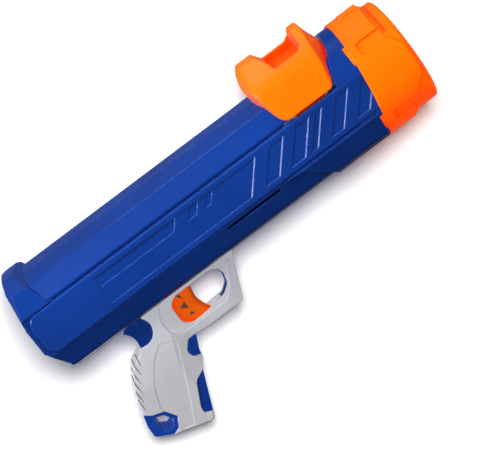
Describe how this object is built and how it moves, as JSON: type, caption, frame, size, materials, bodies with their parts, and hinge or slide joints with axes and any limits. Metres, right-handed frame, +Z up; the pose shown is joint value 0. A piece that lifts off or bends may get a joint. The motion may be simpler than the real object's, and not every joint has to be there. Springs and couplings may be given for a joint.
{
  "type": "dog ball launcher",
  "caption": "Hand-held spring launcher for a dog's ball: wide barrel with a castellated cap, sliding priming handle on top, pistol grip with guarded sliding trigger.",
  "frame": {"origin": "centre of the barrel's mouth, in the plane of the muzzle cap's front rim", "axes": "+X along the bore and out of the mouth, +Z up towards the priming handle, so +Y is the launcher's left side"},
  "size_m": [0.3852, 0.1046, 0.2293],
  "materials": {
    "blue_plastic": "semi-gloss moulded",
    "insert_plastic": "semi-gloss moulded",
    "orange_plastic": "satin moulded",
    "grey_plastic": "satin moulded",
    "tube_plastic": "drawn tube",
    "black_rubber": "matte",
    "glide_plastic": "natural moulded",
    "steel": "zinc plated",
    "spring_steel": "bright wire"
  },
  "bodies": {
    "housing": {"body_shell_right": "blue_plastic", "body_shell_left": "blue_plastic", "side_panel_right": "blue_plastic", "side_panel_left": "blue_plastic", "barrel_tube": "tube_plastic", "ball_retainer": "black_rubber", "muzzle_cap": "orange_plastic", "rear_bulkhead": "glide_plastic", "main_spring": "spring_steel", "stop_bumpers": "black_rubber", "body_screws": "steel", "grip_cover_right": "grey_plastic", "grip_cover_left": "grey_plastic", "grip_screws": "steel", "strap_loop": "insert_plastic", "trigger_spring": "spring_steel", "sear_pin": "steel", "sear_spring": "spring_steel"},
    "handle_unit": {"priming_handle": "orange_plastic", "handle_screws": "steel", "handle_glide": "glide_plastic", "slide_block_right": "glide_plastic", "slide_block_left": "glide_plastic"},
    "plunger_unit": {"plunger": "glide_plastic", "plunger_pad": "black_rubber"},
    "trigger_unit": {"trigger": "orange_plastic"},
    "sear_unit": {"sear": "steel"}
  },
  "joints": [
    {"name": "priming_stroke", "type": "slide", "parent": "housing", "child": "handle_unit", "axis": [-1, 0, 0], "range_m": [0, 0.215], "stiffness_N_per_m": 220, "springref_m": -0.05},
    {"name": "plunger_stroke", "type": "slide", "parent": "housing", "child": "plunger_unit", "axis": [-1, 0, 0], "range_m": [0, 0.215], "deforming": ["main_spring"]},
    {"name": "trigger_pull", "type": "slide", "parent": "housing", "child": "trigger_unit", "axis": [-1, 0, 0], "range_m": [0, 0.007], "stiffness_N_per_m": 400, "springref_m": -0.004, "deforming": ["trigger_spring"]},
    {"name": "sear_release", "type": "hinge", "parent": "housing", "child": "sear_unit", "pos_m": [-0.3088, 0, -0.0468], "axis": [0, 1, 0], "range_deg": [0, 10], "deforming": ["sear_spring"]}
  ],
  "couplings": [
    {"joint": "plunger_stroke", "follows": "priming_stroke", "ratio": 1},
    {"joint": "sear_release", "follows": "trigger_pull", "rad_per_m": 24.933}
  ]
}
